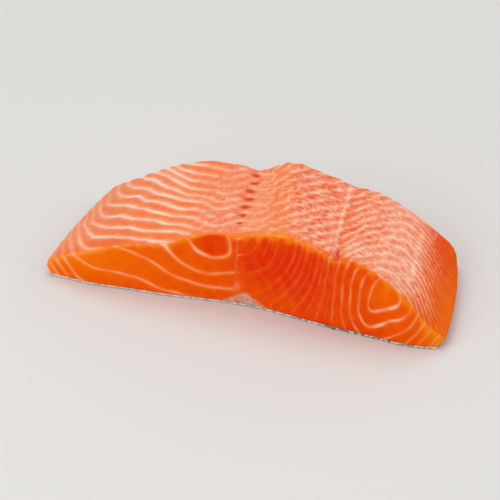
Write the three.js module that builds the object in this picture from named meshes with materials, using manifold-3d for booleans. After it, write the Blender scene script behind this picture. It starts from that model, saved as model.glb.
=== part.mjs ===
// A raw salmon fillet portion, lying skin side down: a slab of flaky flesh, the strip of dark muscle
// under its middle, and the skin that backs both.
//
// Millimetres, +Z up. X runs across the fish from the thin belly edge to the thick dorsal edge, and
// Y runs along the fish from the front cut to the back cut. While it is built, the zero point is the
// belly foot of the front cut. The finished part is moved to stand over the middle of its own box.

import * as THREE from 'three';
import { mergeVertices } from 'three/addons/utils/BufferGeometryUtils.js';
import Module from 'manifold-3d';

const wasm = await Module();
wasm.setup();

// ---- Driving sizes ----

const FRONT_LENGTH = 168; // belly foot to dorsal foot along the front cut
const PORTION_DEPTH = 64; // front cut to back cut
const SKIN_THICKNESS = 1;
const SKIN_OVERHANG = 0.3; // how far the skin shows past the flesh all round

// The cross-section is drawn through these named places, each an [x, z] on the front cut and one on
// the back cut. The fish tapers towards the back cut, so the two differ.
const STATIONS = [
  { place: 'belly foot', front: [0.3, SKIN_THICKNESS], back: [3, SKIN_THICKNESS] },
  { place: 'belly bulge', front: [-1.8, 4], back: [2, 4.5] },
  { place: 'belly rim', front: [-0.6, 7.5], back: [4.6, 8.5] },
  { place: 'belly strip', front: [9, 13.3], back: [14, 14.5] },
  { place: 'belly middle', front: [30, 21.6], back: [33, 25.2] },
  { place: 'flank', front: [52, 26.6], back: [49, 30.9] },
  { place: 'flank crest', front: [70, 33.2], back: [61, 31.8] },
  { place: 'pin line', front: [82, 34], back: [72.5, 32] },
  { place: 'back ridge', front: [104, 37.9], back: [86, 37.6] },
  { place: 'ridge shoulder', front: [115, 36], back: [100, 35] },
  { place: 'loin groove', front: [124.5, 34.2], back: [116, 31.2] },
  { place: 'loin crest', front: [132, 34.8], back: [125, 29.9] },
  { place: 'loin shoulder', front: [146, 29.3], back: [138, 23.9] },
  { place: 'dorsal slope', front: [157, 20.6], back: [149, 16.9] },
  { place: 'dorsal rim', front: [165.5, 10.4], back: [156.8, 10.5] },
  { place: 'dorsal bulge', front: [171, 5], back: [158.8, 5] },
  { place: 'dorsal foot', front: [FRONT_LENGTH, SKIN_THICKNESS], back: [157.5, SKIN_THICKNESS] },
];
// How far the two sides bow out at half depth, and the front x from which each bow grows.
const DORSAL_BOW = { out: 2, from: 140 };
const BELLY_BOW = { out: -1.4, from: 14 };

// Plan of the front cut: a hollow where the knife drew the flesh back, and swells beside it.
const MIDDLE_HOLLOW = { depth: 4.9, at: 86, width: 30 };
const DORSAL_SWELL = { depth: -1.3, at: 154, width: 12 };
const BELLY_SWELL = { depth: -1.2, at: 18, width: 12 };
const BACK_CUT_HOLLOW = { depth: -1, at: 84, width: 40 };
const CORNER_ROUND = { depth: 1.2, from: 158, over: 10 }; // the dorsal end of the front cut

// Flakes: the fish's muscle is stacked in thin cones, which show as low ridges on top.
const FLAKE_PITCH = 7.3; // along the fish
const BELLY_FLAKES = { height: 0.45, slope: -0.62, flatFrom: 48, flatSlope: -0.25, firstAt: 24.3 };
const RIDGE_FLAKES = { height: 0.2, slope: 1 };
const LOIN_FLAKES = { height: 0.3, axisX: 144, axisZ: 19, spacing: 3.5, squash: 0.8 };
const FLAKE_BLEND = 5; // zones of flakes run into each other over this width

// The pin line is the shallow valley that held the pin bones, with a pit at each bone's place.
const PIN_LINE = { x: 80, depth: 0.7, width: 3 };
const PIN_PIT = { depth: 0.8, width: 2.2, length: 1.7, first: 5, pitch: 7.6 };
// The loin groove parts the back ridge from the loin, and opens into a pit at the front cut.
const LOIN_GROOVE = { x: 122.2, hook: 2.5, hookLength: 6, depth: 0.6, width: 1.8 };
const LOIN_PIT = { x: 124.3, y: 7, depth: 0.9, width: 2.2, length: 8 };

// Dark muscle: a low ridge under the pin line, [x, z] of its apex and the half width of its foot.
const DARK_MUSCLE = { front: [84.5, 6.2], back: [75, 5.8], halfWidth: 10, gap: 0.3 };

// Fineness of the faces
const BELLY_COLUMN = 2.6; // column width from the belly edge to the loin groove
const LOIN_COLUMN = 1.25; // column width from there to the dorsal foot, where the flakes are finer
const DEPTH_ROWS = 34;
const CUT_ROWS = 4;

// ---- Outline ----

const bell = (distance, width) => Math.exp(-((distance / width) ** 2));
const hollow = (x, { depth, at, width }) => depth * bell(x - at, width);
const mix = THREE.MathUtils.lerp;
const ramp = THREE.MathUtils.smoothstep;

function frontCutY(x) {
  const corner = CORNER_ROUND.depth * Math.max(0, (x - CORNER_ROUND.from) / CORNER_ROUND.over) ** 2;
  return hollow(x, MIDDLE_HOLLOW) + hollow(x, DORSAL_SWELL) + hollow(x, BELLY_SWELL) + corner;
}

function backCutY(x) {
  return PORTION_DEPTH + hollow(x, BACK_CUT_HOLLOW);
}

// A smooth curve through every station of one cut, in the plane of x and z.
function profileCurve(cut) {
  return new THREE.CatmullRomCurve3(
    STATIONS.map((station) => new THREE.Vector3(station[cut][0], 0, station[cut][1])),
    false,
    'centripetal',
  );
}

// Where the columns of faces stand along the profile, each as a share of the curve's spans.
function columnPlaces() {
  const spans = STATIONS.length - 1;
  const groove = STATIONS.findIndex((station) => station.place === 'loin groove');
  const places = [0];
  for (let span = 0; span < spans; span += 1) {
    const [start, end] = [STATIONS[span].front, STATIONS[span + 1].front];
    const length = Math.hypot(end[0] - start[0], end[1] - start[1]);
    const width = span < groove ? BELLY_COLUMN : LOIN_COLUMN;
    const steps = Math.max(2, Math.round(length / width));
    for (let step = 1; step <= steps; step += 1) places.push((span + step / steps) / spans);
  }
  return places;
}

// ---- Flake relief ----

// How far the top stands out of its smooth form, for a place named by its front x, the distance from
// the front cut and its height. A flake is highest in its middle and lowest at the seam.
function flakeWave(level) {
  return -(0.5 + 0.5 * Math.cos(2 * Math.PI * level));
}

function bellyLevel(x, y) {
  const flat = Math.max(0, x - BELLY_FLAKES.flatFrom);
  const seam = BELLY_FLAKES.slope * (x - flat) + BELLY_FLAKES.flatSlope * flat;
  return (y - BELLY_FLAKES.firstAt - seam) / FLAKE_PITCH;
}

function ridgeLevel(x, y) {
  return (y - RIDGE_FLAKES.slope * x) / FLAKE_PITCH;
}

function loinLevel(x, y, z) {
  const { axisX, axisZ, spacing, squash } = LOIN_FLAKES;
  return y / FLAKE_PITCH + Math.hypot(x - axisX, squash * (z - axisZ)) / spacing;
}

function reliefAt(x, y, z) {
  const belly = 1 - ramp(x, PIN_LINE.x - 2 * FLAKE_BLEND, PIN_LINE.x);
  const loin = ramp(x, LOIN_GROOVE.x, LOIN_GROOVE.x + FLAKE_BLEND);
  const ridge = ramp(x, PIN_LINE.x, PIN_LINE.x + FLAKE_BLEND) * (1 - loin);
  const offTheFoot = ramp(z, SKIN_THICKNESS, SKIN_THICKNESS + 3);
  const flakes =
    belly * BELLY_FLAKES.height * flakeWave(bellyLevel(x, y)) +
    ridge * RIDGE_FLAKES.height * flakeWave(ridgeLevel(x, y)) +
    loin * LOIN_FLAKES.height * flakeWave(loinLevel(x, y, z));
  return (flakes - pinLineDepth(x, y) - loinGrooveDepth(x, y)) * offTheFoot;
}

function pinLineDepth(x, y) {
  const nearest = Math.round((y - PIN_PIT.first) / PIN_PIT.pitch);
  const along = y - PIN_PIT.first - nearest * PIN_PIT.pitch;
  const pit = PIN_PIT.depth * bell(x - PIN_LINE.x, PIN_PIT.width) * bell(along, PIN_PIT.length);
  return PIN_LINE.depth * bell(x - PIN_LINE.x, PIN_LINE.width) + pit;
}

function loinGrooveDepth(x, y) {
  const line = LOIN_GROOVE.x + LOIN_GROOVE.hook * Math.exp(-Math.max(0, y) / LOIN_GROOVE.hookLength);
  const { x: pitX, y: pitY, depth, width, length } = LOIN_PIT;
  const pit = depth * bell(x - pitX, width) * bell(y - pitY, length);
  return LOIN_GROOVE.depth * bell(x - line, LOIN_GROOVE.width) + pit;
}

// ---- Surfaces of the slab ----

// The smooth top and sides, as a grid: one row for each step from the front cut to the back cut.
function smoothTop(places) {
  const front = profileCurve('front');
  const back = profileCurve('back');
  const rows = [];
  for (let j = 0; j <= DEPTH_ROWS; j += 1) {
    const share = j / DEPTH_ROWS;
    rows.push(
      places.map((place) => {
        const near = front.getPoint(place);
        const point = near.clone().lerp(back.getPoint(place), share);
        const dorsal = DORSAL_BOW.out * ramp(near.x, DORSAL_BOW.from, FRONT_LENGTH);
        const belly = BELLY_BOW.out * (1 - ramp(near.x, 0, BELLY_BOW.from));
        point.x += (dorsal + belly) * 4 * share * (1 - share);
        point.y = mix(frontCutY(near.x), backCutY(near.x), share);
        return point;
      }),
    );
  }
  return rows;
}

// The same grid with its flakes, pits and grooves, each point moved along the surface's normal.
function flakyTop(rows) {
  return rows.map((row, j) =>
    row.map((point, i) => {
      const across = new THREE.Vector3().subVectors(
        row[Math.min(i + 1, row.length - 1)],
        row[Math.max(i - 1, 0)],
      );
      const along = new THREE.Vector3().subVectors(
        rows[Math.min(j + 1, DEPTH_ROWS)][i],
        rows[Math.max(j - 1, 0)][i],
      );
      const normal = across.cross(along).normalize();
      normal.y = 0; // the cuts stay where the knife went
      const depth = (PORTION_DEPTH * j) / DEPTH_ROWS;
      return point.clone().addScaledVector(normal, reliefAt(rows[0][i].x, depth, point.z));
    }),
  );
}

// A cut face as a grid of rows, from its upper edge down to its foot.
function cutFace(edge, cutY) {
  const lengths = [0];
  for (let i = 1; i < edge.length; i += 1) {
    lengths.push(lengths[i - 1] + edge[i].distanceTo(edge[i - 1]));
  }
  const total = lengths[edge.length - 1];
  const rows = [edge];
  for (let k = 1; k <= CUT_ROWS; k += 1) {
    const share = k / CUT_ROWS;
    rows.push(
      edge.map((top, i) => {
        if (i === 0 || i === edge.length - 1) return top;
        const footX = mix(edge[0].x, edge[edge.length - 1].x, lengths[i] / total);
        const x = mix(top.x, footX, share);
        const y = cutY(x) + (top.y - cutY(top.x)) * (1 - share);
        return new THREE.Vector3(x, y, mix(top.z, SKIN_THICKNESS, share));
      }),
    );
  }
  return rows;
}

// ---- Meshes ----

function gridTriangles(rows, turned) {
  const triangles = [];
  const add = (a, b, c) => {
    const pointed = a === b || b === c || c === a;
    if (!pointed) triangles.push(turned ? [a, c, b] : [a, b, c]);
  };
  for (let j = 0; j < rows.length - 1; j += 1) {
    for (let i = 0; i < rows[j].length - 1; i += 1) {
      add(rows[j][i], rows[j][i + 1], rows[j + 1][i + 1]);
      add(rows[j][i], rows[j + 1][i + 1], rows[j + 1][i]);
    }
  }
  return triangles;
}

function geometryOf(triangles) {
  const positions = triangles.flatMap((corners) => corners.flatMap((corner) => corner.toArray()));
  const geometry = new THREE.BufferGeometry();
  geometry.setAttribute('position', new THREE.Float32BufferAttribute(positions, 3));
  return mergeVertices(geometry, 1e-4);
}

function solidOf(geometry) {
  const merged = geometry.index ? geometry : mergeVertices(geometry, 1e-4);
  return new wasm.Manifold(
    new wasm.Mesh({
      numProp: 3,
      vertProperties: new Float32Array(merged.attributes.position.array),
      triVerts: new Uint32Array(merged.index.array),
    }),
  );
}

function geometryFromSolid(solid) {
  const mesh = solid.getMesh();
  const geometry = new THREE.BufferGeometry();
  geometry.setAttribute('position', new THREE.Float32BufferAttribute(mesh.vertProperties, 3));
  geometry.setIndex(Array.from(mesh.triVerts));
  geometry.computeVertexNormals();
  return geometry;
}

// The slab's foot, counter-clockwise seen from above.
function footOutline(top, frontCut, backCut) {
  const lastColumn = top[0].length - 1;
  const inner = top.slice(1, -1);
  return [
    ...frontCut[CUT_ROWS],
    ...inner.map((row) => row[lastColumn]),
    ...backCut[CUT_ROWS].toReversed(),
    ...inner.map((row) => row[0]).toReversed(),
  ];
}

function footTriangles(outline) {
  const flat = outline.map((point) => new THREE.Vector2(point.x, point.y));
  const faces = THREE.ShapeUtils.triangulateShape(flat, []);
  return faces.map(([a, b, c]) => [outline[a], outline[c], outline[b]]);
}

// A ridge along the fish from well before the front cut to well past the back cut. It is grown on
// all its upper faces, and reaches below the slab's foot by the same slope.
function darkMuscleRidge(grown) {
  const past = PORTION_DEPTH / 4;
  const below = 2;
  const section = (share, y) => {
    const [x, z] = [0, 1].map((axis) => mix(DARK_MUSCLE.front[axis], DARK_MUSCLE.back[axis], share));
    const height = z - SKIN_THICKNESS;
    const slope = DARK_MUSCLE.halfWidth / height;
    const apex = z + grown * Math.hypot(1, 1 / slope);
    const half = (apex - SKIN_THICKNESS + below) * slope;
    return [
      new THREE.Vector3(x - half, y, SKIN_THICKNESS - below),
      new THREE.Vector3(x + half, y, SKIN_THICKNESS - below),
      new THREE.Vector3(x, y, apex),
    ];
  };
  const near = section(-past / PORTION_DEPTH, -past);
  const far = section(1 + past / PORTION_DEPTH, PORTION_DEPTH + past);
  const triangles = [near, [far[0], far[2], far[1]]];
  for (let side = 0; side < 3; side += 1) {
    const next = (side + 1) % 3;
    triangles.push([near[side], far[side], far[next]], [near[side], far[next], near[next]]);
  }
  return solidOf(geometryOf(triangles));
}

function skinGeometry(outline) {
  const middle = new THREE.Box3().setFromPoints(outline).getCenter(new THREE.Vector3());
  const half = new THREE.Box3().setFromPoints(outline).getSize(new THREE.Vector3()).multiplyScalar(0.5);
  const shape = new THREE.Shape(
    outline.map(
      (point) =>
        new THREE.Vector2(
          point.x + ((point.x - middle.x) / half.x) * SKIN_OVERHANG,
          point.y + ((point.y - middle.y) / half.y) * SKIN_OVERHANG,
        ),
    ),
  );
  return new THREE.ExtrudeGeometry(shape, { depth: SKIN_THICKNESS, bevelEnabled: false });
}

// ---- The part ----

const FLESH_FINISH = new THREE.MeshStandardMaterial({ color: 0xec6a2c, roughness: 0.35, metalness: 0 });
const DARK_MUSCLE_FINISH = new THREE.MeshStandardMaterial({ color: 0xa8765c, roughness: 0.4, metalness: 0 });
const SKIN_FINISH = new THREE.MeshStandardMaterial({ color: 0x9a9c9e, roughness: 0.3, metalness: 0.2 });

const top = flakyTop(smoothTop(columnPlaces()));
const frontCut = cutFace(top[0], frontCutY);
const backCut = cutFace(top[DEPTH_ROWS], backCutY);
const outline = footOutline(top, frontCut, backCut);
const slab = solidOf(
  geometryOf([
    ...gridTriangles(top, false),
    ...gridTriangles(frontCut, true),
    ...gridTriangles(backCut, false),
    ...footTriangles(outline),
  ]),
);

function piece(name, geometry, finish) {
  const mesh = new THREE.Mesh(geometry, finish);
  mesh.name = name;
  return mesh;
}

const fillet = new THREE.Group();
fillet.name = 'salmon_fillet';
fillet.add(
  piece('flesh', geometryFromSolid(slab.subtract(darkMuscleRidge(DARK_MUSCLE.gap))), FLESH_FINISH),
  piece('dark_muscle', geometryFromSolid(slab.intersect(darkMuscleRidge(0))), DARK_MUSCLE_FINISH),
  piece('skin', skinGeometry(outline), SKIN_FINISH),
);

const box = new THREE.Box3().setFromObject(fillet);
const centre = box.getCenter(new THREE.Vector3());
fillet.position.set(-centre.x, -centre.y, -box.min.z);
fillet.updateMatrixWorld(true);

export default fillet;
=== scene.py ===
"""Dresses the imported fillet: fine flaky flesh, dark muscle, scaled skin, and a stage to see it on."""

import math

import bpy
import numpy as np
from bpy.props import FloatProperty, FloatVectorProperty, PointerProperty
from mathutils import Matrix, Vector


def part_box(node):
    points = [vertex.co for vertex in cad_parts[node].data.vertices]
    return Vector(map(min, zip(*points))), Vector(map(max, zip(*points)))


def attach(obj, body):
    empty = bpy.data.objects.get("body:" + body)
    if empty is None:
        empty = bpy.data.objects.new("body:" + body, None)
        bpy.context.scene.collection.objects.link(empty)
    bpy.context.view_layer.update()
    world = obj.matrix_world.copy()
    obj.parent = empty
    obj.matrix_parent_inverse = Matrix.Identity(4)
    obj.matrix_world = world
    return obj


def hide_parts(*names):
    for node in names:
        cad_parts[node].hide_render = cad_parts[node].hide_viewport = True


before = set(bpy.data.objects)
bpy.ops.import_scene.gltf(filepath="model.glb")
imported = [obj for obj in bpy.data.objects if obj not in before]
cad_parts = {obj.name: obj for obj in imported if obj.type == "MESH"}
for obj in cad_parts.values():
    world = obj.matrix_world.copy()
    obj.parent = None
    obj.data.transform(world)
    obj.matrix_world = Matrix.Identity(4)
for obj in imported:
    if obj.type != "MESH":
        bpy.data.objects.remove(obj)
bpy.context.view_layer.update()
FLESH_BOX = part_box("flesh")
SKIN_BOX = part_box("skin")

bl_info = {
    "name": "Raw Salmon Fillet",
    "version": (1, 0, 0),
    "blender": (4, 5, 0),
    "location": "View3D > Sidebar > Fillet",
    "description": "Builds the flesh, dark muscle and skin of a raw salmon portion",
    "category": "Object",
}

MM = 0.001  # the frame is in metres, and the shapes below are worked out in millimetres


def srgb(code):
    """A six-digit sRGB hex colour as linear red, green and blue."""
    channels = [int(code[i : i + 2], 16) / 255 for i in (0, 2, 4)]
    return tuple(c / 12.92 if c <= 0.04045 else ((c + 0.055) / 1.055) ** 2.4 for c in channels)


# ---- Settings ----


def length(name, description, millimetres):
    return FloatProperty(name=name, description=description, default=millimetres * MM, unit="LENGTH")


def colour(name, description, code):
    return FloatVectorProperty(
        name=name, description=description, default=srgb(code), subtype="COLOR", size=3, min=0, max=1
    )


def power(name, description, watts):
    return FloatProperty(name=name, description=description, default=watts, unit="POWER")


class FilletSizes(bpy.types.PropertyGroup):
    depth: length("Depth", "From the front cut to the back cut", 64)
    skin: length("Skin thickness", "Thickness of the skin under the flesh", 1)
    skin_overhang: length("Skin overhang", "How far the skin shows past the flesh", 0.3)
    flake_pitch: length("Flake pitch", "Depth of one muscle flake along the fish", 7.3)
    mesh_step: length("Mesh step", "Width of the fine mesh's columns and rows", 0.52)
    cut_edge: length("Cut edge", "How far the knife's edges are rounded off", 0.35)
    seam_on_top: length("Seam on top", "Half width of a pale seam on the top", 0.78)
    seam_on_cut: length("Seam on the cut", "Half width of a pale seam on a cut face", 0.42)
    scale_pitch: length("Scale pitch", "Distance between two scales of the skin", 3.2)


class FilletColours(bpy.types.PropertyGroup):
    orange: colour("Orange flesh", "Flesh near the belly, on a fresh cut", "EB5F04")
    red: colour("Red flesh", "The deepest flesh, in the middle of the cut", "DB2E08")
    # Amber: painted glow along thin edges, and painted highlights on the back ridge.
    amber: colour("Amber edge", "Thin flesh along the cut's upper edge", "F2860C")
    # Bloom: the top's own pale film, and painted sheen where the top faces the light.
    bloom_and_sheen: colour("Bloom", "The pale moist top", "F4A277")
    fat: colour("Fat", "Seams of fat on the top", "FBD8C6")
    cut_fat: colour("Fat on the cut", "Seams of fat on a cut face", "F59A62")
    pit: colour("Pit", "Where a pin bone was drawn", "DA3E04")
    dark_muscle: colour("Dark muscle", "The grey-brown muscle next to the skin", "AE7559")
    dark_streak: colour("Dark muscle fat", "Streaks in the dark muscle", "DBA792")
    pearl: colour("Scale glint", "The palest scales", "DFE3E4")
    under_skin: colour("Under the skin", "The pale fat that the skin is cut from", "D8C6B8")
    silver: colour("Belly skin", "Silvery skin below the side line", "C9CBCB")
    slate: colour("Back skin", "Dark skin above the side line", "3A444A")
    floor: colour("Floor", "The plain floor of the stage", "D9D7D4")


class StageSettings(bpy.types.PropertyGroup):
    focal_length: FloatProperty(
        name="Focal length", description="In millimetres", default=218.0, unit="CAMERA"
    )
    key: power("Top light", "Power of the large light above", 4.7)
    fill: power("Front light", "Power of the light in front", 6.6)
    side: power("Side light", "Power of the light on the right", 2.5)
    rear: power("Rear light", "Power of the light behind", 1.2)
    room: FloatProperty(name="Room light", description="Strength of the light all round", default=0.5)


# ---- Objects and nodes ----


def linked(name, data):
    """A new object of the data, in the scene."""
    made = bpy.data.objects.new(name, data)
    bpy.context.scene.collection.objects.link(made)
    return made


def add(tree, kind, inputs=None, **settings):
    """Adds a node. Each input is a value, a node's output, or a node, for its first output."""
    made = tree.nodes.new(kind)
    for name, value in settings.items():
        setattr(made, name, value)
    for socket, value in (inputs or {}).items():
        if isinstance(value, bpy.types.Node):
            value = value.outputs[0]
        if isinstance(value, bpy.types.NodeSocket):
            tree.links.new(value, made.inputs[socket])
        else:
            made.inputs[socket].default_value = value
    return made


# ---- Form of the slab, in millimetres from the belly foot of the front cut ----

STATIONS = (  # place, (x, z) on the front cut, (x, z) on the back cut
    ("belly foot", (0.3, 1.0), (3.0, 1.0)),
    ("belly bulge", (-1.8, 4.0), (2.0, 4.5)),
    ("belly rim", (-0.6, 7.5), (4.6, 8.5)),
    ("belly strip", (9.0, 13.3), (14.0, 14.5)),
    ("belly middle", (30.0, 21.6), (33.0, 25.2)),
    ("flank", (52.0, 26.6), (49.0, 30.9)),
    ("flank crest", (70.0, 33.2), (61.0, 31.8)),
    ("pin line", (82.0, 34.0), (72.5, 32.0)),
    ("back ridge", (104.0, 37.9), (86.0, 37.6)),
    ("ridge shoulder", (115.0, 36.0), (100.0, 35.0)),
    ("loin groove", (124.5, 34.2), (116.0, 31.2)),
    ("loin crest", (132.0, 34.8), (125.0, 29.9)),
    ("loin shoulder", (146.0, 29.3), (138.0, 23.9)),
    ("dorsal slope", (157.0, 20.6), (149.0, 16.9)),
    ("dorsal rim", (165.5, 10.4), (156.8, 10.5)),
    ("dorsal bulge", (171.0, 5.0), (158.8, 5.0)),
    ("dorsal foot", (168.0, 1.0), (157.5, 1.0)),
)
FRONT_LENGTH = 168.0
DORSAL_BOW, DORSAL_BOW_FROM = 2.0, 140.0
BELLY_BOW, BELLY_BOW_FROM = -1.4, 14.0
FRONT_HOLLOWS = ((4.9, 86.0, 30.0), (-1.3, 154.0, 12.0), (-1.2, 18.0, 12.0))  # depth, x, width
BACK_HOLLOWS = ((-1.0, 84.0, 40.0),)
CORNER_ROUND, CORNER_FROM, CORNER_OVER = 1.2, 158.0, 10.0
MUSCLE_APEX = ((84.5, 6.2), (75.0, 5.8))  # (x, z) of the dark muscle's ridge on each cut
MUSCLE_HALF_WIDTH = 10.0


def bell(distance, width):
    """1 at no distance, and next to nothing two widths away."""
    return np.exp(-((distance / width) ** 2))


def ramp(value, start, end):
    """0 before start and 1 past end, and eased between them."""
    share = np.clip((value - start) / (end - start), 0, 1)
    return share * share * (3 - 2 * share)


def stretch(value, start, full, fading, end):
    """1 between full and fading, and 0 before start and past end."""
    return ramp(value, start, full) * (1 - ramp(value, fading, end))


def front_cut_y(x):
    corner = CORNER_ROUND * np.maximum(0, (x - CORNER_FROM) / CORNER_OVER) ** 2
    return corner + sum(depth * bell(x - at, width) for depth, at, width in FRONT_HOLLOWS)


def back_cut_y(x, depth):
    return depth + sum(hollow * bell(x - at, width) for hollow, at, width in BACK_HOLLOWS)


def curve_through(points, places):
    """Centripetal Catmull-Rom curve: the point at each place, in spans from the first point."""
    points = np.asarray(points, float)
    padded = np.vstack([2 * points[0] - points[1], points, 2 * points[-1] - points[-2]])
    span = np.minimum(places.astype(int), len(points) - 2)
    share = (places - span)[:, None]
    p0, p1, p2, p3 = (padded[span + k] for k in range(4))
    d0, d1, d2 = (
        np.sqrt(np.linalg.norm(b - a, axis=1))[:, None] for a, b in ((p0, p1), (p1, p2), (p2, p3))
    )
    leave = ((p1 - p0) / d0 - (p2 - p0) / (d0 + d1) + (p2 - p1) / d1) * d1
    arrive = ((p2 - p1) / d1 - (p3 - p1) / (d1 + d2) + (p3 - p2) / d2) * d1
    square, cube = share**2, share**3
    return (
        p1 * (2 * cube - 3 * square + 1)
        + leave * (cube - 2 * square + share)
        + p2 * (3 * square - 2 * cube)
        + arrive * (cube - square)
    )


def even_places(step):
    """Places along the front profile that are step apart."""
    fine = np.linspace(0, len(STATIONS) - 1, 4000)
    line = curve_through([front for _, front, _ in STATIONS], fine)
    run = np.concatenate([[0], np.cumsum(np.linalg.norm(np.diff(line, axis=0), axis=1))])
    return np.interp(np.linspace(0, run[-1], round(run[-1] / step) + 1), run, fine)


class Slab:
    """The smooth form as three grids of points: the top with both sides, and the two cut faces."""

    def __init__(self, sizes):
        self.skin = sizes.skin / MM
        self.depth = sizes.depth / MM
        step = sizes.mesh_step / MM
        places = even_places(step)
        self.near = curve_through([front for _, front, _ in STATIONS], places)
        self.far = curve_through([back for _, _, back in STATIONS], places)
        rows = round(self.depth / step)
        self.share = np.linspace(0, 1, rows + 1)[:, None]
        self.front_x = np.broadcast_to(self.near[:, 0], (rows + 1, len(places)))
        self.along = np.broadcast_to(self.share * self.depth, self.front_x.shape)
        self.top = self._top()

    def _top(self):
        share, near_x = self.share, self.near[:, 0]
        bow = DORSAL_BOW * ramp(near_x, DORSAL_BOW_FROM, FRONT_LENGTH)
        bow = bow + BELLY_BOW * (1 - ramp(near_x, 0, BELLY_BOW_FROM))
        x = near_x * (1 - share) + self.far[:, 0] * share + bow * 4 * share * (1 - share)
        y = front_cut_y(near_x) * (1 - share) + back_cut_y(near_x, self.depth) * share
        z = self.near[:, 1] * (1 - share) + self.far[:, 1] * share
        return np.stack([x, y, z], axis=-1)

    def foot_height(self, x, back):
        """Height of the flesh's underside: on the skin, and over the dark muscle's ridge."""
        apex_x, apex_z = MUSCLE_APEX[back]
        slope = (apex_z - self.skin) / MUSCLE_HALF_WIDTH
        return np.maximum(self.skin, apex_z - slope * np.abs(x - apex_x))

    def cut(self, edge, back, rows):
        """A cut face, in rows from its upper edge to its foot."""
        run = np.concatenate([[0], np.cumsum(np.linalg.norm(np.diff(edge, axis=0), axis=1))])
        foot_x = edge[0, 0] + (edge[-1, 0] - edge[0, 0]) * run / run[-1]
        down = np.linspace(0, 1, rows + 1)[:, None]
        x = edge[:, 0] * (1 - down) + foot_x * down
        z = edge[:, 2] * (1 - down) + self.foot_height(foot_x, back) * down
        z[:, 0], z[:, -1] = edge[0, 2], edge[-1, 2]
        surface = (lambda at: back_cut_y(at, self.depth)) if back else front_cut_y
        y = surface(x) + (edge[:, 1] - surface(edge[:, 0])) * (1 - down)
        return np.stack([x, y, z], axis=-1)


# ---- The pattern of the flesh ----

# Seams of fat part the flesh into cones, one inside another. On a cut they show as rings. Each ring
# is drawn through a few points, (x, z) on the front cut, and its number counts cones outwards.
VENTRAL_RINGS = {
    0.35: ((70, 28.5),),
    1: (
        (61.2, 27.5), (64, 24.3), (67.5, 22.8), (71.5, 21.8), (75.5, 22.2), (78, 25), (77.5, 29),
        (75.5, 33),
    ),
    2: (
        (50.2, 26), (51.5, 23.6), (54, 20.6), (57.5, 17.4), (62, 14.8), (67, 13.6), (72, 13.6),
        (77, 15.6),
    ),
    3: (
        (28.5, 21), (33, 19.6), (38, 18.5), (43, 17), (48, 14.4), (52, 12), (56, 10.3), (62, 8.5), (70, 7.2),
    ),
    4: (
        (9.8, 13.6), (14, 11.4), (18, 9.6), (23, 8.4), (31, 8.1), (37, 7.3), (43, 5.6), (50, 3.2), (60, 1.5),
    ),
    5: ((5.3, 11.8), (7.6, 8.8), (9.8, 6), (12, 3)),
    6: ((1.6, 9.8), (4, 7), (6.2, 4.5), (8.5, 2)),
    7: ((-1, 7.2), (1, 4.6), (3, 2.2)),
}
DORSAL_RINGS = {
    0.1: ((145.5, 21.5),),
    1: (
        (143.6, 30), (140.8, 24.5), (138.9, 19.5), (138.4, 15), (139.2, 12.6), (143, 13.6), (148, 16.8),
        (152, 19.6), (151.6, 25.2),
    ),
    2: (
        (139.3, 32.2), (136.6, 28), (135.2, 23), (134.7, 17), (134.9, 11), (136, 6.6), (138.6, 4.8),
        (143, 7), (148, 10.6), (154, 13), (157.2, 16.6), (157.3, 20),
    ),
    3: (
        (134.8, 34.2), (132.4, 29.5), (131.2, 24), (130.7, 17), (130.8, 10), (131.8, 5.4), (134.5, 1.8),
        (148, 2.2), (153, 5.8), (158, 11), (160, 16.6),
    ),
    4: (
        (130.2, 35), (128, 29), (127.2, 22), (127.1, 12), (127.8, 5), (129, 1.5), (155.5, 1.6), (160, 6.6),
        (163, 12.6),
    ),
    5: ((126, 34), (124.4, 27), (123.8, 18), (123.4, 10), (122.8, 3), (161, 2.2), (165.6, 9.6)),
    6: ((121.6, 34.4), (120.8, 26), (119, 15), (116.5, 5), (165.5, 2), (168.6, 6.8)),
    7: ((117, 35.4), (115.8, 26), (112.5, 14), (107, 4)),
    8: ((112, 36.5), (110.5, 27), (105.5, 15), (97, 4.5)),
    9: ((106.8, 37.4), (106, 29), (101, 19), (94.5, 11), (90, 6.5)),
    10: ((98.6, 37.2), (97.5, 30), (94, 22), (88.5, 17.2), (82, 17)),
    11: ((90, 35.6), (89, 30), (86, 25.6), (82, 25)),
}
SEPTUM_X = 80.7  # the upright seam that parts the belly's cones from the back's

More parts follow.
